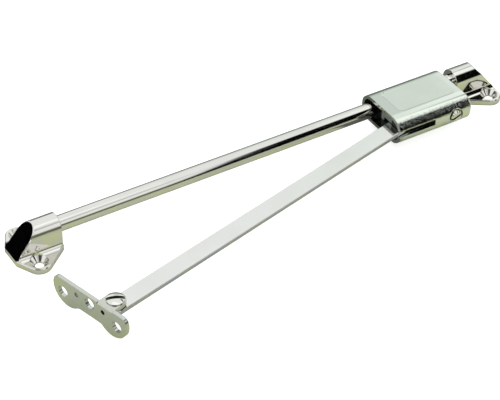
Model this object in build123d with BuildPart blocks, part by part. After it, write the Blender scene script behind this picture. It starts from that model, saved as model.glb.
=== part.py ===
"""Flap stay with a sliding brake, made for the inside of a cabinet wall.

Millimetres. The origin is the middle of the left bracket's two screw holes, on the mounting plane.
+X runs along the guide rod to the right bracket and +Z points away from the wall.
"""
from build123d import *
import os
from math import cos, radians, sin

os.makedirs("parts", exist_ok=True)

# Guide rod and its height over the wall
rod_d = 8.0
rod_z = 10.8
rod_fit = 0.02
rod_chamfer = 0.5

# Brackets: a flange with two screw ears and a tunnel that holds the rod
hole_span = 261.0
flange_t = 3.0
flange_bevel = 0.4
ear_spacing = 22.4
ear_r = 6.0
screw_hole_d = 4.4
countersink_d = 9.0
outer_reach = 9.4
inner_reach = 15.4
right_ear_shift = 2.8
flange_end_w = 13.8
flange_corner_r = 1.0
tunnel_wall = 2.3
tunnel_foot_w = 13.0
tunnel_root_r = 3.0
tunnel_lean = 11.4
tunnel_edge = 0.6
slant_bevel = 0.35
rod_seat_depth = 12.0

# Slider housing, placed as the photograph shows it, near the right end of the rod
mouth_x = 193.4
housing_l = 44.9
housing_h = 14.6
housing_near = 26.1
housing_far = 7.7
housing_r = 7.0
housing_wall = 1.8
end_wall = 2.2
end_bevel = 1.5
end_rod_gap = 0.4
panel_l = 34.6
panel_w = 18.0
panel_r = 2.5
panel_depth = 0.35
panel_from_mouth = 5.8
panel_y = -8.0

# Plastic guide inside the housing
guide_fit = 0.1
guide_recess = 0.6
rod_run = 0.06

# Arm and its pivot pin
arm_pivot_x = 209.8
arm_pivot_y = -16.0
arm_l = 204.6
arm_w = 9.5
arm_t = 2.4
arm_z = 10.4
arm_angle = 13.8
arm_edge = 0.25
arm_slot_gap = 0.4
arm_side_gap = 0.5
pin_d = 5.0
pin_fit = 0.02
pin_run = 0.05
pin_seat = 3.0
pin_reach_up = 1.8

# Brake: a slotted screw in a nut pushes a shoe against the rod
brake_from_end = 10.3
brake_d = 6.4
brake_run = 0.05
brake_wall_gap = 0.2
brake_spot_d = 8.2
brake_spot_depth = 1.1
brake_stand_out = 0.9
brake_bevel = 0.7
brake_slot_w = 1.2
brake_slot_depth = 1.3
brake_slot_turn = 20.0
brake_l = 11.8
nut_w = 8.6
nut_t = 3.4
nut_y = -17.6
shoe_d = 7.6
shoe_run = 0.1
shoe_rod_gap = 0.3

# Flap plate with its lug, and the slotted pivot screw that joins it to the arm
plate_t = 2.0
plate_l = 46.6
plate_lift = 1.9
plate_to_pivot = 5.0
plate_turn = 2.2
plate_lobe_r = 9.2
plate_waist = 2.9
plate_offset = 9.5
plate_waist_r = 4.0
plate_tip_r = 3.0
plate_hole_d = 5.8
plate_hole_spacing = 34.2
plate_hole_up = 6.9
middle_hole_up = 10.2
small_hole_d = 2.4
small_hole_spacing = 16.8
small_hole_up = 10.3
lug_w = 9.8
lug_bend_r = 2.0
washer_t = 1.3
washer_d = 9.0
stud_d = 4.2
stud_fit = 0.02
shoulder_d = 5.2
shoulder_run = 0.05
head_d = 8.6
head_t = 1.4
head_edge = 0.4
head_slot_w = 1.3
head_slot_depth = 0.8
head_slot_turn = -23.5
rivet_d = 6.0
rivet_t = 0.8

# Places that follow from the sizes above
rod_r = rod_d / 2
tunnel_r = rod_r + tunnel_wall
tunnel_top = rod_z + tunnel_r
rod_start = inner_reach - rod_seat_depth
rod_end = hole_span - right_ear_shift - inner_reach + rod_seat_depth
end_x = mouth_x + housing_l
brake_x = end_x - brake_from_end
housing_mid_y = (housing_far - housing_near) / 2
housing_w = housing_near + housing_far
housing_top = rod_z + housing_h / 2
cavity_end = end_x - end_wall
cavity_w = housing_w - 2 * housing_wall
cavity_h = housing_h - 2 * housing_wall
cavity_r = housing_r - housing_wall
guide_start = mouth_x + guide_recess
guide_w = cavity_w - 2 * guide_fit
guide_h = cavity_h - 2 * guide_fit
guide_r = cavity_r - guide_fit
arm_top = arm_z + arm_t
pocket_floor = arm_z - arm_slot_gap
pocket_roof = arm_top + arm_slot_gap
pocket_end = arm_pivot_x + arm_w / 2 + arm_side_gap
pocket_back = arm_pivot_y + arm_w / 2 + arm_side_gap
screw_outer_y = -housing_near - brake_stand_out
screw_inner_y = screw_outer_y + brake_l
lug_bottom = arm_top + washer_t
lug_top = lug_bottom + plate_t
plate_h = lug_top - plate_lift

# The arm leaves its pivot towards the left bracket, swung out from the wall side of the rod
arm_plane = Plane(
    origin=(arm_pivot_x, arm_pivot_y, 0),
    x_dir=(-cos(radians(arm_angle)), -sin(radians(arm_angle)), 0),
    z_dir=(0, 0, 1),
)
stud_plane = Plane(
    origin=arm_plane.from_local_coords((arm_l, 0, 0)),
    x_dir=arm_plane.x_dir,
    z_dir=(0, 0, 1),
).rotated((0, 0, plate_turn))
# The plate stands across the arm's end: its own x runs along the plate and its own y runs up
plate_plane = Plane(
    origin=stud_plane.from_local_coords((plate_to_pivot, 0, 0)),
    x_dir=stud_plane.y_dir,
    z_dir=stud_plane.x_dir,
)


# Guide rod
with BuildPart() as guide_rod:
    with BuildSketch(Plane.YZ.offset(rod_start)):
        with Locations((0, rod_z)):
            Circle(rod_r)
    extrude(amount=rod_end - rod_start)
    chamfer(guide_rod.faces().filter_by(Plane.YZ).edges(), rod_chamfer)
guide_rod.part.label = "guide_rod"


def flange_outline(shrink, ear_shift):
    """The flange seen from above: two round ears drawn in to a narrow end on both sides."""
    corner = flange_corner_r
    corner_y = flange_end_w / 2 - corner
    corner_xs = (ear_shift - outer_reach + corner, ear_shift + inner_reach - corner)
    with BuildSketch() as outline:
        with Locations((0, ear_spacing / 2), (0, -ear_spacing / 2)):
            Circle(ear_r - shrink)
        with Locations(*[(x, y) for x in corner_xs for y in (corner_y, -corner_y)]):
            Circle(corner - shrink)
        make_hull()
    return outline.sketch


def bracket(ear_shift):
    """A bracket with its ears on the line x = 0 and its tunnel moved along the rod by ear_shift."""
    tunnel_start = ear_shift - outer_reach
    tunnel_end = ear_shift + inner_reach
    seat_start = tunnel_end - rod_seat_depth
    slant_foot = tunnel_start + flange_bevel
    # Tunnel section: a round roof on leaning sides that sweep out onto the flange
    with BuildPart() as tunnel:
        with BuildSketch(Plane.YZ.offset(tunnel_start)):
            with BuildLine():
                foot = (tunnel_foot_w / 2 + tunnel_root_r, flange_t)
                root = (tunnel_foot_w / 2, flange_t + tunnel_root_r)
                side = (tunnel_r, rod_z)
                Polyline((0, 0), (foot[0], 0), foot)
                TangentArc(foot, root, tangent=(-1, 0))
                Line(root, side)
                TangentArc(side, (0, tunnel_top), tangent=(0, 1))
                mirror(about=Plane.YZ)
            make_face()
        extrude(amount=tunnel_end - tunnel_start)
        # The tunnel keeps inside the flange's bevel
        with BuildSketch():
            add(flange_outline(flange_bevel, ear_shift))
        extrude(amount=tunnel_top, mode=Mode.INTERSECT)
        # Slanted outer end
        with BuildSketch(Plane.XZ):
            with BuildLine():
                Polyline(
                    (slant_foot, flange_t),
                    (slant_foot + tunnel_lean, tunnel_top),
                    (slant_foot + tunnel_lean, 2 * tunnel_top),
                    (slant_foot - tunnel_lean, 2 * tunnel_top),
                    (slant_foot - tunnel_lean, flange_t),
                    close=True,
                )
            make_face()
        extrude(amount=ear_spacing, both=True, mode=Mode.SUBTRACT)
        slants = tunnel.faces().filter_by(lambda face: face.normal_at().X < 0 < face.normal_at().Z)
        chamfer(slants.sort_by(Axis.X)[0].edges().sort_by(Axis.Z)[-1], slant_bevel)
        # Bevel round the roof at the rod's side
        with BuildSketch(Plane.XY.offset(rod_z)):
            with BuildLine():
                Polyline(
                    (tunnel_end - tunnel_edge, tunnel_r + tunnel_edge),
                    (tunnel_end - tunnel_edge, tunnel_r),
                    (tunnel_end, tunnel_r - tunnel_edge),
                    (tunnel_end, tunnel_r + tunnel_edge),
                    close=True,
                )
            make_face()
        revolve(axis=Axis((0, 0, rod_z), (1, 0, 0)), revolution_arc=180, mode=Mode.SUBTRACT)
    with BuildPart() as whole:
        # Flange with a bevelled upper edge
        with BuildSketch():
            add(flange_outline(0, ear_shift))
        extrude(amount=flange_t)
        chamfer(whole.faces().sort_by(Axis.Z)[-1].edges(), flange_bevel)
        add(tunnel.part)
        with Locations((0, ear_spacing / 2, flange_t), (0, -ear_spacing / 2, flange_t)):
            CounterSinkHole(screw_hole_d / 2, countersink_d / 2, counter_sink_angle=90)
        # Blind seat of the rod
        with BuildSketch(Plane.YZ.offset(seat_start)):
            with Locations((0, rod_z)):
                Circle(rod_r + rod_fit)
        extrude(amount=rod_seat_depth, mode=Mode.SUBTRACT)
    return whole.part


# Left bracket
with BuildPart() as left_bracket:
    add(bracket(0))
left_bracket.part.label = "left_bracket"

# Right bracket: turned to face the left one, with its ears nearer to its slanted end
with BuildPart() as right_bracket:
    mirror(bracket(right_ear_shift), about=Plane.YZ.offset(hole_span / 2))
right_bracket.part.label = "right_bracket"


# Slider housing: a flat tube with round sides, closed at its right end
with BuildPart() as slider_housing:
    with BuildSketch(Plane.YZ.offset(mouth_x)):
        with Locations((housing_mid_y, rod_z)):
            RectangleRounded(housing_w, housing_h, housing_r)
    extrude(amount=housing_l)
    chamfer(slider_housing.faces().sort_by(Axis.X)[-1].edges(), end_bevel)
    with BuildSketch(Plane.YZ.offset(mouth_x)):
        with Locations((housing_mid_y, rod_z)):
            RectangleRounded(cavity_w, cavity_h, cavity_r)
    extrude(amount=housing_l - end_wall, mode=Mode.SUBTRACT)
    with BuildSketch(Plane.YZ.offset(cavity_end)):
        with Locations((0, rod_z)):
            Circle(rod_r + end_rod_gap)
    extrude(amount=end_wall, mode=Mode.SUBTRACT)
    # Shallow panel in the top
    with BuildSketch(Plane.XY.offset(housing_top)):
        with Locations((mouth_x + panel_from_mouth + panel_l / 2, panel_y)):
            RectangleRounded(panel_l, panel_w, panel_r)
    extrude(amount=-panel_depth, mode=Mode.SUBTRACT)
    # Slot that the arm swings out through, open at the mouth
    with BuildSketch(Plane.XY.offset(pocket_floor)):
        with Locations((mouth_x, -housing_near)):
            Rectangle(
                pocket_end - mouth_x,
                housing_near + pocket_back,
                align=(Align.MIN, Align.MIN),
            )
    extrude(amount=pocket_roof - pocket_floor, mode=Mode.SUBTRACT)
    # Spot face and hole of the brake screw
    with BuildSketch(Plane.XZ.offset(housing_near)):
        with Locations((brake_x, rod_z)):
            Circle(brake_spot_d / 2)
    extrude(amount=-brake_spot_depth, mode=Mode.SUBTRACT)
    with BuildSketch(Plane.XZ.offset(housing_near)):
        with Locations((brake_x, rod_z)):
            Circle(brake_d / 2 + brake_wall_gap)
    extrude(amount=-housing_r, mode=Mode.SUBTRACT)
slider_housing.part.label = "slider_housing"


def guide_half(bottom, top):
    """A slice of the plastic guide between two heights, with the spaces that it holds."""
    with BuildPart() as guide:
        with BuildSketch(Plane.YZ.offset(guide_start)):
            with Locations((housing_mid_y, rod_z)):
                RectangleRounded(guide_w, guide_h, guide_r)
            with Locations((housing_mid_y, (bottom + top) / 2)):
                Rectangle(guide_w, top - bottom, mode=Mode.INTERSECT)
        extrude(amount=cavity_end - guide_start)
        # Rod bore
        with BuildSketch(Plane.YZ.offset(guide_start)):
            with Locations((0, rod_z)):
                Circle(rod_r + rod_run)
        extrude(amount=cavity_end - guide_start, mode=Mode.SUBTRACT)
        # Arm pocket, with a round inner corner
        with BuildSketch(Plane.XY.offset(pocket_floor)) as pocket:
            with Locations((guide_start, -housing_near)):
                Rectangle(
                    pocket_end - guide_start,
                    housing_near + pocket_back,
                    align=(Align.MIN, Align.MIN),
                )
            fillet(pocket.vertices().group_by(Axis.Y)[-1].sort_by(Axis.X)[-1], arm_w / 2)
        extrude(amount=pocket_roof - pocket_floor, mode=Mode.SUBTRACT)
        # Seat of the pivot pin
        with BuildSketch(Plane.XY.offset(pocket_floor - pin_seat)):
            with Locations((arm_pivot_x, arm_pivot_y)):
                Circle(pin_d / 2 + pin_fit)
        extrude(amount=pocket_roof + pin_reach_up - pocket_floor + pin_seat, mode=Mode.SUBTRACT)
        # Channel of the brake screw and shoe, and the square pocket of its nut
        with BuildSketch(Plane.XZ):
            with Locations((brake_x, rod_z)):
                Circle(shoe_d / 2 + shoe_run)
        extrude(amount=housing_near, mode=Mode.SUBTRACT)
        with BuildSketch(Plane.XZ.offset(-nut_y)):
            with Locations((brake_x, rod_z)):
                Rectangle(nut_w, nut_w)
        extrude(amount=nut_t, mode=Mode.SUBTRACT)
    return guide.part


# Plastic guide in two layers that meet at the floor of the arm's pocket
with BuildPart() as guide_lower:
    add(guide_half(rod_z - guide_h / 2, pocket_floor))
guide_lower.part.label = "guide_lower"

with BuildPart() as guide_upper:
    add(guide_half(pocket_floor, rod_z + guide_h / 2))
guide_upper.part.label = "guide_upper"

# Pivot pin of the arm
with BuildPart() as arm_pin:
    with BuildSketch(Plane.XY.offset(pocket_floor - pin_seat)):
        with Locations((arm_pivot_x, arm_pivot_y)):
            Circle(pin_d / 2)
    extrude(amount=pocket_roof + pin_reach_up - pocket_floor + pin_seat)
arm_pin.part.label = "arm_pin"

# Arm: a flat strip with round ends
with BuildPart() as arm:
    with BuildSketch(arm_plane.offset(arm_z)):
        with Locations((arm_l / 2, 0)):
            SlotCenterToCenter(arm_l, arm_w)
    extrude(amount=arm_t)
    chamfer(arm.faces().filter_by(Axis.Z).edges(), arm_edge)
    with BuildSketch(arm_plane.offset(arm_z)):
        Circle(pin_d / 2 + pin_run)
        with Locations((arm_l, 0)):
            Circle(stud_d / 2 + stud_fit)
    extrude(amount=arm_t, mode=Mode.SUBTRACT)
arm.part.label = "arm"

# Square nut of the brake screw
with BuildPart() as brake_nut:
    with BuildSketch(Plane.XZ.offset(-nut_y)):
        with Locations((brake_x, rod_z)):
            Rectangle(nut_w, nut_w)
            Circle(brake_d / 2 + brake_run, mode=Mode.SUBTRACT)
    extrude(amount=nut_t)
brake_nut.part.label = "brake_nut"

# Brake screw with a bevelled, slotted outer end
with BuildPart() as brake_screw:
    with BuildSketch(Plane.XZ.offset(-screw_outer_y)):
        with Locations((brake_x, rod_z)):
            Circle(brake_d / 2)
    extrude(amount=-brake_l)
    chamfer(brake_screw.faces().sort_by(Axis.Y)[0].edges(), brake_bevel)
    with BuildSketch(Plane.XZ.offset(-screw_outer_y)):
        with Locations((brake_x, rod_z)):
            Rectangle(brake_d * 2, brake_slot_w, rotation=brake_slot_turn)
    extrude(amount=-brake_slot_depth, mode=Mode.SUBTRACT)
brake_screw.part.label = "brake_screw"

# Brake shoe: a round plug, hollowed at its end to hug the rod
with BuildPart() as brake_shoe:
    with BuildSketch(Plane.XZ):
        with Locations((brake_x, rod_z)):
            Circle(shoe_d / 2)
    extrude(amount=-screw_inner_y)
    with BuildSketch(Plane.YZ.offset(brake_x)):
        with Locations((0, rod_z)):
            Circle(rod_r + shoe_rod_gap)
    extrude(amount=shoe_d, both=True, mode=Mode.SUBTRACT)
brake_shoe.part.label = "brake_shoe"


# Flap plate: two round lobes on a straight upper edge, and a lug bent over at the top
with BuildPart() as flap_plate:
    lobe_x = plate_l / 2 - plate_lobe_r
    lobe_up = plate_lift + plate_lobe_r
    waist_up = plate_lift + plate_waist
    with BuildSketch(plate_plane) as blank:
        with Locations((-plate_offset - lobe_x, lobe_up), (-plate_offset + lobe_x, lobe_up)):
            Circle(plate_lobe_r)
        with Locations((-plate_offset, waist_up)):
            Rectangle(2 * lobe_x, lug_top - waist_up, align=(Align.CENTER, Align.MIN))
        with Locations((-plate_offset, lug_top)):
            Rectangle(plate_l, 2 * plate_h, align=(Align.CENTER, Align.MAX), mode=Mode.INTERSECT)
        fillet(blank.vertices().group_by(Axis.Y)[0], plate_waist_r)
        fillet(blank.vertices().group_by(Axis.Y)[-1], plate_tip_r)
    extrude(amount=plate_t)
    with BuildSketch(stud_plane.offset(lug_bottom)):
        Circle(lug_w / 2)
        Rectangle(plate_to_pivot + plate_t, lug_w, align=(Align.MIN, Align.CENTER))
    extrude(amount=plate_t)
    # Outside of the bend
    bend_plane = Plane(
        origin=stud_plane.from_local_coords((plate_to_pivot + plate_t, -lug_w / 2, lug_top)),
        x_dir=stud_plane.x_dir,
        z_dir=-stud_plane.y_dir,
    )
    with BuildSketch(bend_plane):
        with BuildLine():
            Polyline((-lug_bend_r, 0), (0, 0), (0, -lug_bend_r))
            RadiusArc((0, -lug_bend_r), (-lug_bend_r, 0), -lug_bend_r)
        make_face()
    extrude(amount=-lug_w, mode=Mode.SUBTRACT)
    # Pivot hole of the lug
    with BuildSketch(stud_plane.offset(lug_bottom)):
        Circle(shoulder_d / 2 + shoulder_run)
    extrude(amount=plate_t, mode=Mode.SUBTRACT)
    # Screw holes and the two small pilot holes
    with BuildSketch(plate_plane):
        for side in (-1, 1):
            with Locations((-plate_offset + side * plate_hole_spacing / 2, plate_lift + plate_hole_up)):
                Circle(plate_hole_d / 2)
            with Locations((-plate_offset + side * small_hole_spacing / 2, plate_lift + small_hole_up)):
                Circle(small_hole_d / 2)
        with Locations((-plate_offset, plate_lift + middle_hole_up)):
            Circle(plate_hole_d / 2)
    extrude(amount=plate_t, mode=Mode.SUBTRACT)
flap_plate.part.label = "flap_plate"

# Washer between the arm and the lug
with BuildPart() as lug_washer:
    with BuildSketch(stud_plane.offset(arm_top)):
        Circle(washer_d / 2)
        Circle(shoulder_d / 2 + shoulder_run, mode=Mode.SUBTRACT)
    extrude(amount=washer_t)
lug_washer.part.label = "lug_washer"

# Pivot screw of the plate, riveted under the arm
head_bottom = lug_top + shoulder_run
with BuildPart() as pivot_screw:
    with BuildSketch(stud_plane.offset(arm_z - rivet_t)):
        Circle(rivet_d / 2)
    extrude(amount=rivet_t)
    with BuildSketch(stud_plane.offset(arm_z)):
        Circle(stud_d / 2)
    extrude(amount=arm_t)
    with BuildSketch(stud_plane.offset(arm_top)):
        Circle(shoulder_d / 2)
    extrude(amount=head_bottom - arm_top)
    with BuildSketch(stud_plane.offset(head_bottom)):
        Circle(head_d / 2)
    extrude(amount=head_t)
    chamfer(pivot_screw.faces().sort_by(Axis.Z)[-1].edges(), head_edge)
    slot_plane = Plane(stud_plane.origin, x_dir=(1, 0, 0), z_dir=(0, 0, 1))
    with BuildSketch(slot_plane.offset(head_bottom + head_t - head_slot_depth)):
        Rectangle(head_d * 2, head_slot_w, rotation=head_slot_turn)
    extrude(amount=head_slot_depth, mode=Mode.SUBTRACT)
pivot_screw.part.label = "pivot_screw"

pieces = (
    guide_rod,
    left_bracket,
    right_bracket,
    slider_housing,
    guide_lower,
    guide_upper,
    arm_pin,
    brake_nut,
    brake_screw,
    brake_shoe,
    arm,
    pivot_screw,
    lug_washer,
    flap_plate,
)
for piece in pieces:
    export_step(piece.part, f"parts/{piece.part.label}.step")
    print(piece.part.label, round(piece.part.volume, 1), "mm3")
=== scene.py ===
# %% [markdown]
# # A nickel-plated flap stay on white
#
# A flap stay holds the lid of a cabinet. A slider runs on a round rod between two screwed brackets,
# and a flat arm swings out of the slider to a small plate on the flap. Every solid is bright nickel,
# so this lesson is mostly about what a mirror shows: the plating is easy, the room around it is not.
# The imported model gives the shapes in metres, with the wall at z = 0 and the rod along x.

# %% Load the frame
import bpy
from math import cos, radians, sin
from mathutils import Matrix, Vector


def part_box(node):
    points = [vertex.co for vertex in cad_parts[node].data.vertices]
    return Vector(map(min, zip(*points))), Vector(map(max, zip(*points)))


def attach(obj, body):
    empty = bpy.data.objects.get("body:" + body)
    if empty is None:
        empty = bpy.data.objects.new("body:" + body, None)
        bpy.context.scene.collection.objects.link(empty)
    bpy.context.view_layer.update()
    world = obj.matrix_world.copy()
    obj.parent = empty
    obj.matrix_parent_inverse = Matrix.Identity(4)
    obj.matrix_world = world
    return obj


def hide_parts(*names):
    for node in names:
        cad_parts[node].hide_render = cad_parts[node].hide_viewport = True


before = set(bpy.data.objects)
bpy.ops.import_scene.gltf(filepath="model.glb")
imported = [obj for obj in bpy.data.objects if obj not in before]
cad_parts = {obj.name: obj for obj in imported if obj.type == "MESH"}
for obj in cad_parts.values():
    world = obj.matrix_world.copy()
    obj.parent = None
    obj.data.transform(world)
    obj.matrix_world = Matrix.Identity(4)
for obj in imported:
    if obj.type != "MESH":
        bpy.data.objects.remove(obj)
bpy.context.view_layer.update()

# %% [markdown]
# ## Camera
#
# The picture was taken from above and to the left with a long lens. A camera can be placed by hand or
# worked out from points whose real places are known. Here the bearing, height, distance and lens came
# from such points on the rod and brackets, and the small roll levels the picture as it was cropped.

# %% Camera
view_bearing = radians(-32.73)
view_height = radians(39.32)
view_distance = 0.9236
view_roll = radians(1.53)
view_target = Vector((0.1098, -0.0193, 0))
picture_width = 500
focal_pixels = 1902.9

backward = Vector(
    (
        sin(view_bearing) * cos(view_height),
        -cos(view_bearing) * cos(view_height),
        sin(view_height),
    )
)
level_right = Vector((cos(view_bearing), sin(view_bearing), 0))
level_up = backward.cross(level_right)
camera_right = cos(view_roll) * level_right + sin(view_roll) * level_up
camera_up = cos(view_roll) * level_up - sin(view_roll) * level_right

camera = bpy.data.objects.new("camera", bpy.data.cameras.new("camera"))
camera.data.sensor_width = 36
camera.data.lens = focal_pixels * camera.data.sensor_width / picture_width
camera.data.clip_end = 20
turn = Matrix((camera_right, camera_up, backward)).transposed().to_4x4()
camera.matrix_world = Matrix.Translation(view_target + view_distance * backward) @ turn
bpy.context.scene.collection.objects.link(camera)
bpy.context.scene.camera = camera
print("lens", round(camera.data.lens, 1), "mm")

# %% [markdown]
# ## Nodes
#
# Every finish is a small graph of nodes. Two helpers keep the cells short: one adds a node and joins
# its inputs by name, the other starts a material and hands back its shader.


# %% Node helpers
def put(tree, kind, joins=None, **settings):
    """Adds a node, sets its values and joins its inputs."""
    node = tree.nodes.new(kind)
    for name, value in settings.items():
        setattr(node, name, value)
    for name, value in (joins or {}).items():
        if isinstance(value, bpy.types.NodeSocket):
            tree.links.new(value, node.inputs[name])
        else:
            node.inputs[name].default_value = value
    return node


def new_material(name):
    """An empty node material and its main shader."""
    material = bpy.data.materials.new(name)
    material.use_nodes = True
    return material, material.node_tree.nodes["Principled BSDF"]


def ramp(tree, source, stops):
    """A colour ramp read from a value, with stops of place and colour."""
    node = put(tree, "ShaderNodeValToRGB", {"Fac": source})
    band = node.color_ramp
    while len(band.elements) < len(stops):
        band.elements.new(0.5)
    for element, (place, colour) in zip(band.elements, stops):
        element.position = place
        element.color = (*colour, 1)
    return node.outputs["Color"]


def spots(tree, place, size, detail=3.0, stretch=(1, 1, 1)):
    """Cloudy spots of about one size in metres, drawn out along an axis where stretch is small."""
    mapped = put(tree, "ShaderNodeMapping", {"Vector": place, "Scale": stretch})
    noise = {"Vector": mapped.outputs["Vector"], "Scale": 1 / size, "Detail": detail}
    return put(tree, "ShaderNodeTexNoise", noise).outputs["Fac"]


# %% [markdown]
# ## The room
#
# Bright metal shows the room, not itself. A studio photograph has a tent, a table and a few dark flags,
# and each band on the rod is one of them: read from the top down, the pale ceiling, the tent's grey
# seam, its bright front, the dark far edge of the table, and the olive board that the stay lies on.
# An image of a room would do this too. A world of smooth steps in the direction is used, because each
# band can then be moved by one number until it falls where the photograph has it.

# %% Steps and blends
world = bpy.data.worlds.new("studio")
bpy.context.scene.world = world
world.use_nodes = True
room = world.node_tree
sky = room.nodes["Background"]
direction = put(room, "ShaderNodeTexCoord").outputs["Generated"]
sides = put(room, "ShaderNodeSeparateXYZ", {"Vector": direction})
east, north, high = (sides.outputs[axis] for axis in "XYZ")
print("world", world.name)


def step_up(tree, source, low, high):
    """Rises smoothly from 0 to 1 between two values."""
    settings = {"Value": source, "From Min": low, "From Max": high}
    return put(tree, "ShaderNodeMapRange", settings, interpolation_type="SMOOTHSTEP").outputs["Result"]


def combine(tree, operation, *values):
    """Joins values by one operation, two at a time."""
    result = values[0]
    for value in values[1:]:
        result = put(tree, "ShaderNodeMath", {0: result, 1: value}, operation=operation).outputs[0]
    return result


def product(tree, *values):
    """Multiplies values, so that shares are joined as by a logical and."""
    return combine(tree, "MULTIPLY", *values)


def between(tree, source, low, high, edge):
    """Is 1 between two values and falls off smoothly over the edge outside them."""
    rise = step_up(tree, source, low - edge, low)
    return product(tree, rise, step_up(tree, source, high + edge, high))


def blend(tree, share, first, second):
    """One colour fading to another."""
    mix = put(tree, "ShaderNodeMix", data_type="RGBA")
    for socket, value in ((0, share), (6, first), (7, second)):
        if isinstance(value, bpy.types.NodeSocket):
            tree.links.new(value, mix.inputs[socket])
        elif isinstance(value, tuple):
            mix.inputs[socket].default_value = (*value, 1)
        else:
            mix.inputs[socket].default_value = value
    return mix.outputs[2]


# %% Tent, seam and table edge
tent = (0.97, 1.00, 1.02)
to_back = step_up(room, north, 0.30, 0.55)
in_front = step_up(room, north, -0.30, -0.50)
left_of_slider = step_up(room, east, 0.40, 0.38)
tent_parts = {
    "paler right": (product(room, step_up(room, east, 0.40, 0.48), to_back), (0.90, 0.96, 0.95)),
    "far right": (product(room, step_up(room, east, 0.520, 0.532), to_back), (1.00, 1.05, 1.06)),
    "light on the slider's shoulder": (
        product(room, step_up(room, east, 0.465, 0.485), step_up(room, high, 0.72, 0.82)),
        (1.12, 1.18, 1.16),
    ),
    "grey back": (
        product(room, step_up(room, east, 0.34, 0.40), step_up(room, north, 0.64, 0.78)),
        (0.70, 0.78, 0.76),
    ),
    "low back": (
        product(room, step_up(room, high, 0.30, 0.18), step_up(room, north, 0.30, 0.50)),
        (0.25, 0.27, 0.25),
    ),
    "seam": (
        product(room, between(room, high, 0.74, 0.82, 0.04), left_of_slider, in_front),
        (0.60, 0.62, 0.60),
    ),
    "table edge": (
        product(room, step_up(room, high, 0.42, 0.22), step_up(room, north, 0.30, 0.10)),
        (0.15, 0.16, 0.10),
    ),
}
walls = tent
for share, colour in tent_parts.values():
    walls = blend(room, share, walls, colour)
print("tent with", ", ".join(tent_parts))

# %% [markdown]
# ## Dark flags
#
# Photographers hang black cards beside bright metal, so that its form reads. The right one makes the
# dark band along the slider's shoulder and the right bracket, the left one blackens the left bracket's
# slanted end, and the one in front darkens small bevels. They could be boxes in the scene, but in the
# world they can't get in the way of another view.

# %% Flags
flag_black = (0.001, 0.001, 0.001)
front_flag_share = 0.9
flag_line = combine(room, "SUBTRACT", east, product(room, high, 0.05))
right_flag = product(
    room,
    between(room, flag_line, 0.392, 0.60, 0.02),
    step_up(room, high, 0.83, 0.76),
    step_up(room, north, 0.40, 0.30),
)
left_flag = product(
    room,
    between(room, east, -0.80, -0.46, 0.05),
    between(room, north, 0.52, 0.84, 0.05),
    between(room, high, 0.04, 0.62, 0.05),
)
front_flag = product(
    room,
    step_up(room, east, -0.12, -0.24),
    step_up(room, north, -0.22, -0.34),
    between(room, high, 0.56, 0.86, 0.08),
    front_flag_share,
)
flags = combine(room, "MAXIMUM", right_flag, left_flag, front_flag)
room.links.new(blend(room, flags, walls, flag_black), sky.inputs["Color"])
sky.inputs["Strength"].default_value = 1.0
print("three dark flags")

# %% [markdown]
# ## The floor
#
# The stay was photographed on an olive board and then cut out onto white. The floor does both: its
# own colour is white to the camera and olive to every mirrored or bounced ray, so the metal keeps its
# warm underside. The board ends in front of the stay. Behind the rod, and in the corner between arm
# and slider, the stay's shadow is painted on it in dark grey, which draws the thin grey line along the
# far edges. A little glow lifts the white to paper white, and only the deepest shadow is left.

# %% Floor
bpy.ops.object.select_all(action="DESELECT")
bpy.ops.mesh.primitive_plane_add(size=6, location=(0.13, 0, 0))
floor = bpy.context.object
floor.name = "floor"
board, board_shader = new_material("olive board")
tree = board.node_tree
place = put(tree, "ShaderNodeTexCoord").outputs["Object"]
rays = put(tree, "ShaderNodeLightPath")
pale_olive, deep_olive = (0.70, 0.73, 0.61), (0.74, 0.78, 0.47)
# The dark grey is the stay's shadow, painted on the board behind the rod and beside the mouth.
past_board, painted_shadow_grey, paper = (0.15, 0.16, 0.10), (0.15, 0.16, 0.14), (0.90, 0.90, 0.90)
painted_shadow_share, paper_glow, board_glow = 0.95, 0.75, 0.03
patches = ramp(tree, spots(tree, place, 0.012), [(0.40, pale_olive), (0.60, deep_olive)])
where = put(tree, "ShaderNodeSeparateXYZ", {"Vector": place})
along, across = where.outputs["X"], where.outputs["Y"]
board_end = step_up(tree, across, -0.12, -0.15)
# These masks place the stay's painted shadow on the board, which only the metal mirrors.
by_mouth = between(tree, along, 0.052, 0.066, 0.006)
corner_shadow = product(tree, by_mouth, step_up(tree, across, -0.036, -0.030))
rod_shadow = step_up(tree, across, 0.002, 0.012)
painted_shadow_area = product(tree, combine(tree, "MAXIMUM", corner_shadow, rod_shadow), painted_shadow_share)
mirrored = blend(tree, painted_shadow_area, blend(tree, board_end, patches, past_board), painted_shadow_grey)
shown = blend(tree, rays.outputs["Is Camera Ray"], mirrored, paper)
tree.links.new(shown, board_shader.inputs["Base Color"])
board_shader.inputs["Roughness"].default_value = 0.9
glow = combine(
    tree,
    "ADD",
    product(tree, rays.outputs["Is Camera Ray"], paper_glow),
    product(tree, rays.outputs["Is Glossy Ray"], board_glow),
    product(tree, rays.outputs["Is Transmission Ray"], paper_glow),
)
white = put(tree, "ShaderNodeEmission", {"Color": (1, 1, 1, 1), "Strength": glow}).outputs["Emission"]
both = put(tree, "ShaderNodeAddShader", {0: board_shader.outputs["BSDF"], 1: white})
tree.links.new(both.outputs["Shader"], tree.nodes["Material Output"].inputs["Surface"])
floor.data.materials.append(board)
print("floor is white to the camera")

# %% [markdown]
# ## Lamps
#
# Nearly all the light on mirrored metal comes from the tent itself. Two large soft lamps add the
# direction and the faint shadow. A mirror sees a lamp in front of the tent as the sum of both, so they
# stay weak: stronger ones turn the arm's top and the slider's panel pure white from other sides.


# %% Lamps
def lamp(name, place, aim, size, power, tint):
    """A soft square lamp that faces a point."""
    data = bpy.data.lights.new(name, "AREA")
    data.size = size
    data.energy = power
    data.color = tint
    thing = bpy.data.objects.new(name, data)
    thing.location = place
    thing.rotation_euler = (Vector(aim) - Vector(place)).to_track_quat("-Z", "Y").to_euler()
    bpy.context.scene.collection.objects.link(thing)


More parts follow.
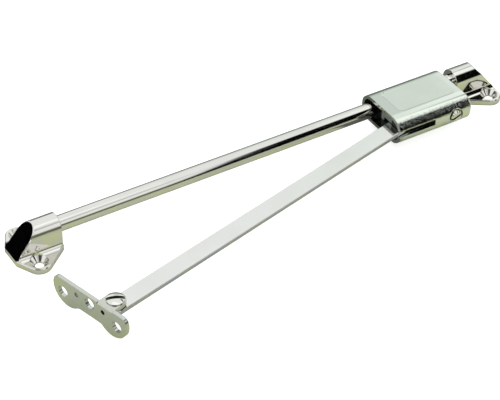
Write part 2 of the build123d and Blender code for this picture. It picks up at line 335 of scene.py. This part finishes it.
middle = (0.12, -0.02, 0)
lamp("top softbox", (0.0, -0.15, 1.1), middle, size=0.8, power=0.45, tint=(1, 1, 0.97))
lamp("front left panel", (-0.6, -0.9, 0.45), middle, size=0.7, power=0.35, tint=(1, 0.99, 0.95))
print("two lamps")

# %% [markdown]
# ## Nickel plating
#
# Bright nickel is a warm mirror. A plain mirror looks like a computer's, so each piece gets what its
# making leaves: drawing lines on the rod, a rolled grain and duller sheared sides on the strip, a fine
# orange peel on the pressed sheet. Real edges are never sharp, and plating wears there first. The
# Bevel node rounds the normal near an edge, which gives the thin bright and dark lines, and the angle
# between it and the true normal says where the edge is, so the same node places the wear. Slots and
# inner corners do the opposite: an Ambient Occlusion node finds them from how much of the sky they
# miss, and they are painted a dark brown that stands partly for grime and partly for painted shade.


# %% Rounded and worn edges
def rounded(tree, radius):
    """The normal with its edges rounded, and how near to an edge a point is, from 0 to 1."""
    soft = put(tree, "ShaderNodeBevel", {"Radius": radius}, samples=8).outputs["Normal"]
    plain = put(tree, "ShaderNodeNewGeometry").outputs["Normal"]
    agree = put(tree, "ShaderNodeVectorMath", {0: soft, 1: plain}, operation="DOT_PRODUCT")
    return soft, step_up(tree, agree.outputs["Value"], 0.97, 0.80)


def sheltered(tree, reach):
    """How deep in a slot or corner a point lies, from 0 to 1."""
    open_sky = put(tree, "ShaderNodeAmbientOcclusion", {"Distance": reach}, samples=8).outputs["AO"]
    return step_up(tree, open_sky, 0.62, 0.25)


# %% Nickel recipe
# This brown is painted into slots and corners, partly as grime and partly as shade.
grime_and_shade_brown, grime_and_shade_strength = (0.045, 0.045, 0.030), 0.85
worn_share, cloudy_share = (0.78, 0.74, 0.66), 0.95
haze_size, rub_size = 0.02, 0.0015
haze_roughness, rub_roughness = 0.03, 0.12


def nickel(
    name,
    tint,
    roughness,
    grain,
    depth,
    stretch=(1, 1, 1),
    edge=0.0003,
    corner=0.0012,
    pits=None,
    tone=None,
):
    """Plated metal: a warm mirror with cloudy gloss, a fine grain, rubbed edges and corners darkened by
    painted grime and shade.

    Grain and depth are the size and height of its texture, edge and corner how far wear and the painted
    grime and shade reach, all in metres. Pits may change the normal and tone the colour, each from the
    place on the piece.
    """
    material, shader = new_material(name)
    tree = material.node_tree
    place = put(tree, "ShaderNodeTexCoord").outputs["Object"]
    soft, near_edge = rounded(tree, edge)
    haze = spots(tree, place, haze_size)
    rub = product(tree, near_edge, step_up(tree, spots(tree, place, rub_size), 0.40, 0.62))
    plating = ramp(tree, haze, [(0.35, tuple(cloudy_share * c for c in tint)), (0.65, tint)])
    if tone is not None:
        plating = tone(tree, place, plating)
    worn = tuple(c * share for c, share in zip(tint, worn_share))
    rubbed = blend(tree, rub, plating, worn)
    grime_and_shade_mask = product(tree, sheltered(tree, corner), grime_and_shade_strength)
    tree.links.new(blend(tree, grime_and_shade_mask, rubbed, grime_and_shade_brown), shader.inputs["Base Color"])
    dullest = roughness + haze_roughness
    gloss = {"Value": haze, "From Min": 0.3, "From Max": 0.7, "To Min": roughness, "To Max": dullest}
    even = put(tree, "ShaderNodeMapRange", gloss).outputs["Result"]
    scuffed = combine(tree, "ADD", even, product(tree, rub, rub_roughness))
    tree.links.new(scuffed, shader.inputs["Roughness"])
    lines = spots(tree, place, grain, 2.0, stretch)
    relief = {"Height": lines, "Strength": 0.5, "Distance": depth, "Normal": soft}
    surface = put(tree, "ShaderNodeBump", relief).outputs["Normal"]
    if pits is not None:
        surface = pits(tree, place, surface)
    tree.links.new(surface, shader.inputs["Normal"])
    shader.inputs["Metallic"].default_value = 1
    return material


# %% Finishes of rod, strip and sheet
sheared_grey = (0.50, 0.49, 0.56)


def sheared_side(tree, place, plating):
    """The upright sides of a sheared strip are duller than its rolled faces."""
    normal = put(tree, "ShaderNodeTexCoord").outputs["Normal"]
    upright = put(tree, "ShaderNodeSeparateXYZ", {"Vector": normal}).outputs["Z"]
    tilt = put(tree, "ShaderNodeMath", {0: upright}, operation="ABSOLUTE").outputs[0]
    return blend(tree, step_up(tree, tilt, 0.8, 0.4), plating, sheared_grey)


warm_nickel, strip_nickel = (0.80, 0.78, 0.73), (0.82, 0.81, 0.77)
plate_nickel, steel_grey = (0.62, 0.63, 0.57), (0.55, 0.55, 0.54)
drawn, rolled = (0.02, 1, 1), (0.03, 1, 1)
rod_finish = nickel("drawn nickel rod", warm_nickel, 0.05, 0.0006, 0.000004, drawn)
bracket_finish = nickel("bracket nickel", warm_nickel, 0.06, 0.0012, 0.000006, edge=0.00015, corner=0.003)
arm_finish = nickel(
    "strip nickel", strip_nickel, 0.10, 0.0005, 0.000004, rolled, edge=0.0002, tone=sheared_side
)
plate_finish = nickel("plate nickel", plate_nickel, 0.16, 0.0005, 0.000005, corner=0.004)
screw_finish = nickel("screw nickel", warm_nickel, 0.08, 0.0008, 0.000004, edge=0.00015, corner=0.002)
steel_finish = nickel("bright steel", steel_grey, 0.25, 0.0005, 0.000004, edge=0.00015)
print("six metals")

# %% [markdown]
# ## The cast slider
#
# The slider's shell is a zinc casting, barrel plated: its top is rubbed smooth and a little green, and
# its rounded shoulders keep the fine pits of the mould. Modelled pits would take many faces, so they
# are small bumps, held below the top by the height of the point, with a ragged upper limit as a
# polishing wheel leaves it.


# %% Casting
pit_size, pit_depth = 0.0006, 0.00007
shoulder_low, shoulder_high, shoulder_ragged = 0.0130, 0.0178, 0.0012
panel_near_y, shoulder_near_y = -0.0166, -0.0180
# The near strip gets a painted highlight, the strip by the mouth painted shade.
painted_mouth_shade, painted_near_highlight = (0.60, 0.63, 0.575), (0.77, 0.80, 0.72)
guide_face_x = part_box("guide_upper")[0][0]


def mould_pits(tree, place, surface):
    """Fine pits on the shoulders, none on the polished top or low on the sides."""
    height = put(tree, "ShaderNodeSeparateXYZ", {"Vector": place}).outputs["Z"]
    uneven = product(tree, spots(tree, place, rub_size), shoulder_ragged)
    ragged = combine(tree, "ADD", height, uneven)
    shoulder = between(tree, ragged, shoulder_low, shoulder_high, 0.0003)
    grains = product(tree, spots(tree, place, pit_size, 1.0), shoulder)
    relief = {"Height": grains, "Strength": 1.0, "Distance": pit_depth, "Normal": surface}
    return put(tree, "ShaderNodeBump", relief).outputs["Normal"]


def painted_strip_light(tree, place, plating):
    """Paints a highlight on the strip between panel and near shoulder, and shade on the one by the mouth.
    """
    spot = put(tree, "ShaderNodeSeparateXYZ", {"Vector": place})
    near_strip = step_up(tree, spot.outputs["Y"], panel_near_y, shoulder_near_y)
    mouth_strip = step_up(tree, spot.outputs["X"], guide_face_x + 0.0060, guide_face_x + 0.0050)
    return blend(tree, near_strip, blend(tree, mouth_strip, plating, painted_mouth_shade), painted_near_highlight)


cast_tint = (0.69, 0.72, 0.64)
housing_finish = nickel(
    "cast nickel", cast_tint, 0.06, 0.003, 0.00001, corner=0.002, pits=mould_pits, tone=painted_strip_light
)
print("cast metal")

# %% [markdown]
# ## Guide plastic
#
# The guide is a black moulding. Moulded plastic is not even in a bright room: it has a soft sheen, a
# faint cloud in its colour and a pale rub along its edges. Between rod and arm the upper part of its
# face is painted pale grey as the light that falls there, and a box in Object coordinates sets
# where.


# %% Plastic
blacks = (0.012, 0.014, 0.014), (0.022, 0.025, 0.024)
# The pale greys are light painted on the upper face between rod and arm.
painted_light_greys = (0.24, 0.27, 0.265), (0.31, 0.34, 0.335)
rubbed_grey, faint = (0.20, 0.21, 0.20), 0.2


def guide_plastic():
    """Moulded plastic with a soft sheen, pale rubbed edges and painted light on part of its face."""
    material, shader = new_material("dark guide plastic")
    tree = material.node_tree
    place = put(tree, "ShaderNodeTexCoord").outputs["Object"]
    soft, near_edge = rounded(tree, 0.0003)
    haze = spots(tree, place, 0.003)
    black = ramp(tree, haze, list(zip((0.3, 0.7), blacks)))
    painted_light_tone = ramp(tree, haze, list(zip((0.3, 0.7), painted_light_greys)))
    spot = put(tree, "ShaderNodeSeparateXYZ", {"Vector": place})
    face = step_up(tree, spot.outputs["X"], guide_face_x + 0.0006, guide_face_x + 0.0002)
    upper = step_up(tree, spot.outputs["Z"], 0.0108, 0.0118)
    beside_arm = between(tree, spot.outputs["Y"], -0.0170, -0.0082, 0.0006)
    painted_light_patch = product(tree, face, upper, beside_arm)
    body = blend(tree, painted_light_patch, black, painted_light_tone)
    rub = product(tree, near_edge, step_up(tree, spots(tree, place, 0.001), 0.40, 0.60), faint)
    tree.links.new(blend(tree, rub, body, rubbed_grey), shader.inputs["Base Color"])
    shader.inputs["Specular IOR Level"].default_value = 0.2
    gloss = {"Value": haze, "To Min": 0.30, "To Max": 0.45}
    tree.links.new(put(tree, "ShaderNodeMapRange", gloss).outputs["Result"], shader.inputs["Roughness"])
    relief = {"Height": haze, "Strength": 0.3, "Distance": 0.00002, "Normal": soft}
    tree.links.new(put(tree, "ShaderNodeBump", relief).outputs["Normal"], shader.inputs["Normal"])
    return material


plastic_finish = guide_plastic()
print("black plastic")

# %% [markdown]
# ## Who wears what
#
# Ten nodes are shown as they are packed and only get a finish. The other four get one too, because the
# copies that replace them below start from them.

# %% Hand out the finishes
finish_of = {
    "guide_rod": rod_finish,
    "left_bracket": bracket_finish,
    "right_bracket": bracket_finish,
    "slider_housing": housing_finish,
    "guide_lower": plastic_finish,
    "guide_upper": plastic_finish,
    "arm_pin": steel_finish,
    "brake_nut": steel_finish,
    "brake_screw": screw_finish,
    "brake_shoe": plastic_finish,
    "arm": arm_finish,
    "pivot_screw": screw_finish,
    "lug_washer": plastic_finish,
    "flap_plate": plate_finish,
}
for node, finish in finish_of.items():
    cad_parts[node].material_slots[0].material = finish
print(len(finish_of), "nodes finished")

# %% [markdown]
# ## Copies to work on
#
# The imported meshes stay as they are, so a piece that needs more shape starts as a copy of one. Such a
# mesh is loose triangles: its doubles are merged first, and its stored normals are dropped, because
# they describe the old shape. Weighted Normal then lets the large faces keep theirs, which a mirror
# needs: without it a flat side looks dented near its rounded neighbours.


# %% Merged copies
def merged_copy(node, name):
    """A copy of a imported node's mesh with its doubles merged, as the only selected object."""
    bpy.ops.object.select_all(action="DESELECT")
    piece = bpy.data.objects.new(name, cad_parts[node].data.copy())
    bpy.context.scene.collection.objects.link(piece)
    bpy.context.view_layer.objects.active = piece
    piece.select_set(True)
    bpy.ops.object.mode_set(mode="EDIT")
    bpy.ops.mesh.select_all(action="SELECT")
    bpy.ops.mesh.remove_doubles(threshold=0.000001)
    bpy.ops.object.mode_set(mode="OBJECT")
    bpy.ops.mesh.customdata_custom_splitnormals_clear()
    return piece


def select_parts(mesh, mode, test):
    """Selects the vertices that pass a test, or the edges whose two ends do."""
    bpy.ops.object.mode_set(mode="EDIT")
    bpy.ops.mesh.select_mode(type=mode)
    bpy.ops.mesh.select_all(action="DESELECT")
    bpy.ops.object.mode_set(mode="OBJECT")
    chosen = [test(vertex.co) for vertex in mesh.vertices]
    if mode == "VERT":
        for vertex, fits in zip(mesh.vertices, chosen):
            vertex.select = fits
    else:
        for edge in mesh.edges:
            edge.select = all(chosen[end] for end in edge.vertices)
    bpy.ops.object.mode_set(mode="EDIT")


def cut_box(piece, name, place, size, turned=0.0):
    """Takes a box away from a piece."""
    bpy.ops.mesh.primitive_cube_add(size=1, location=place, rotation=(0, 0, turned), scale=size)
    cutter = bpy.context.object
    cut = piece.modifiers.new(name, "BOOLEAN")
    cut.object = cutter
    cut.operation = "DIFFERENCE"
    bpy.context.view_layer.objects.active = piece
    bpy.ops.object.modifier_apply(modifier=cut.name)
    bpy.data.objects.remove(cutter)


def dress(piece, body, node, angle=35, crisp=None):
    """Smooths a finished piece, keeps chosen edges crisp, and hands it over in place of its node."""
    bpy.ops.object.mode_set(mode="OBJECT")
    bpy.ops.object.shade_smooth_by_angle(angle=radians(angle))
    if crisp is not None:
        select_parts(piece.data, "EDGE", crisp)
        bpy.ops.mesh.mark_sharp()
        bpy.ops.object.mode_set(mode="OBJECT")
    weighted = piece.modifiers.new("flat faces first", "WEIGHTED_NORMAL")
    weighted.keep_sharp = True
    bpy.ops.object.modifier_apply(modifier=weighted.name)
    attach(piece, body)
    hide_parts(node)
    print(piece.name, len(piece.data.polygons), "faces")


# %% [markdown]
# ## The guide's face in the slider's mouth
#
# The guide fills the mouth beside the arm, but round the rod its face lies 4 mm further in, and the
# corner between the two is well rounded. A cutting box is the quickest way to set a face back: it is
# placed by the mouth's own corner, taken away with a Boolean, and the new corner is bevelled. Both
# layers of the guide are cut alike.

# %% Guide pieces
step_back = 0.004
near_limit = -0.0078
corner_round = 0.0013
reach, middle_height = 0.03, 0.01
touching = 1e-5


def set_back(node, name):
    """A copy of one guide layer with its face set back round the rod."""
    piece = merged_copy(node, name)
    box_middle = (guide_face_x, near_limit + reach / 2, middle_height)
    cut_box(piece, "set back", box_middle, (2 * step_back, reach, reach))
    piece.select_set(True)
    select_parts(
        piece.data,
        "EDGE",
        lambda co: abs(co.x - guide_face_x) < touching and abs(co.y - near_limit) < touching,
    )
    bpy.ops.mesh.bevel(offset=corner_round, segments=6)
    dress(piece, "slider", node)


for node, name in (("guide_lower", "lower_guide_face"), ("guide_upper", "upper_guide_face")):
    set_back(node, name)

# %% [markdown]
# ## The pivot screw's head
#
# The screw at the arm's end has a low domed head with a wide slot coloured dark. A dome
# could be a slice of a sphere, but rings inset into a cylinder's end put the faces where the curve is
# and leave a flat rim below. Each ring is raised to the height that a sphere has at its radius. The
# slot is a box taken away, turned as the photograph has it, and its faces get their own dark finish.

# %% Domed head
screw_low, screw_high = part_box("pivot_screw")
screw_x, screw_y = (screw_low[0] + screw_high[0]) / 2, (screw_low[1] + screw_high[1]) / 2
head_radius = (screw_high[0] - screw_low[0]) / 2
head_height = 0.0014
rim_height = 0.0005
dome_rise = head_height - rim_height
head_foot = screw_high[2] - head_height
rim_top = head_foot + rim_height
rim_middle = (screw_x, screw_y, head_foot + rim_height / 2)
ring_count, flat_top = 7, 0.3
ring_step = head_radius / (ring_count + flat_top)
ball = (head_radius**2 + dome_rise**2) / (2 * dome_rise)


def dome_height(radius):
    """Height of the dome above the rim at a radius."""
    return (ball**2 - radius**2) ** 0.5 - (ball - dome_rise)


bpy.ops.object.select_all(action="DESELECT")
bpy.ops.mesh.primitive_cylinder_add(
    vertices=64, radius=head_radius, depth=rim_height, location=rim_middle
)
head = bpy.context.object
head.name = "screw_head"
bpy.ops.object.transform_apply(location=True, rotation=True, scale=True)
select_parts(head.data, "VERT", lambda co: co.z > rim_top - touching)
bpy.ops.mesh.select_mode(type="FACE")
for ring in range(ring_count):
    outer, inner = head_radius - ring * ring_step, head_radius - (ring + 1) * ring_step
    bpy.ops.mesh.inset(thickness=ring_step)
    bpy.ops.transform.translate(value=(0, 0, dome_height(inner) - dome_height(outer)))
bpy.ops.object.mode_set(mode="OBJECT")
print("dome of", ring_count, "rings,", round(1000 * dome_rise, 2), "mm high")

# %% Slot and shank
slot_width, slot_depth = 0.0018, 0.0009
slot_turn = radians(-23.5)
slot_floor = screw_high[2] - slot_depth
box_l, box_h = 0.012, 0.004
slot_place = (screw_x, screw_y, slot_floor + box_h / 2)
head_place = (screw_x, screw_y, head_foot + box_h / 2)
cut_box(head, "slot", slot_place, (box_l, slot_width, box_h), slot_turn)
shank = merged_copy("pivot_screw", "screw_shank")
cut_box(shank, "old head", head_place, (box_l, box_l, box_h))
bpy.ops.object.select_all(action="DESELECT")
head.select_set(True)
shank.select_set(True)
bpy.context.view_layer.objects.active = head
bpy.ops.object.join()
print("slot", round(1000 * slot_width, 1), "mm wide on the old shank")

# %% Dark slot
slot_finish = nickel("dark slot", (0.10, 0.11, 0.06), 0.30, 0.0004, 0.000006, edge=0.0001)
head.data.materials.clear()
for finish in (screw_finish, slot_finish):
    head.data.materials.append(finish)
slot_side = Vector((-sin(slot_turn), cos(slot_turn), 0))
screw_middle = Vector((screw_x, screw_y, 0))
for polygon in head.data.polygons:
    away = abs((polygon.center - screw_middle).dot(slot_side))
    level = abs(polygon.normal.z) > 0.99 and abs(polygon.center.z - slot_floor) < touching
    upright = abs(polygon.normal.dot(slot_side)) > 0.99 and abs(away - slot_width / 2) < touching
    polygon.material_index = 1 if (level or upright) and away < slot_width / 2 + touching else 0
dress(head, "arm", "pivot_screw", 30)

# %% [markdown]
# ## The slider's panel
#
# The shallow panel in the slider's top has soft sloping sides, which show as a thin dark line on the
# two sides that lean away from the light and vanish on the others. In the copy the panel's floor is
# raised and drawn in a little, and its four walls become slopes with no new face.

# %% Panel floor
shell = merged_copy("slider_housing", "slider_shell")
panel_depth = 0.00035
panel_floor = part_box("slider_housing")[1][2] - panel_depth
same_height = 2e-6


def on_floor(co):
    """Whether a point is on the floor of the panel as it is packed."""
    return abs(co.z - panel_floor) < same_height


corners = [vertex.co for vertex in shell.data.vertices if on_floor(vertex.co)]
panel_x = [min(co.x for co in corners), max(co.x for co in corners)]
panel_y = [min(co.y for co in corners), max(co.y for co in corners)]
panel_l, panel_w = panel_x[1] - panel_x[0], panel_y[1] - panel_y[0]
print("panel", round(1000 * panel_l, 1), "by", round(1000 * panel_w, 1), "mm")

# %% Slider shell
lift = 0.00022
draw_in = 0.0004
shares = (1 - 2 * draw_in / panel_l, 1 - 2 * draw_in / panel_w, 1)
panel_centre = (sum(panel_x) / 2, sum(panel_y) / 2, panel_floor)
select_parts(shell.data, "VERT", on_floor)
bpy.ops.transform.resize(value=shares, center_override=panel_centre)
bpy.ops.transform.translate(value=(0, 0, lift))


def on_panel(co):
    """Whether a point is on the raised floor of the panel or on its upper edge."""
    along = panel_x[0] - touching < co.x < panel_x[1] + touching
    across = panel_y[0] - touching < co.y < panel_y[1] + touching
    return along and across and co.z > panel_floor + lift - same_height


dress(shell, "slider", "slider_housing", 50, on_panel)

# %% [markdown]
# ## View transform
#
# Colours leave as they are written, with no film look on top.

# %% View transform
bpy.context.scene.view_settings.view_transform = "Standard"
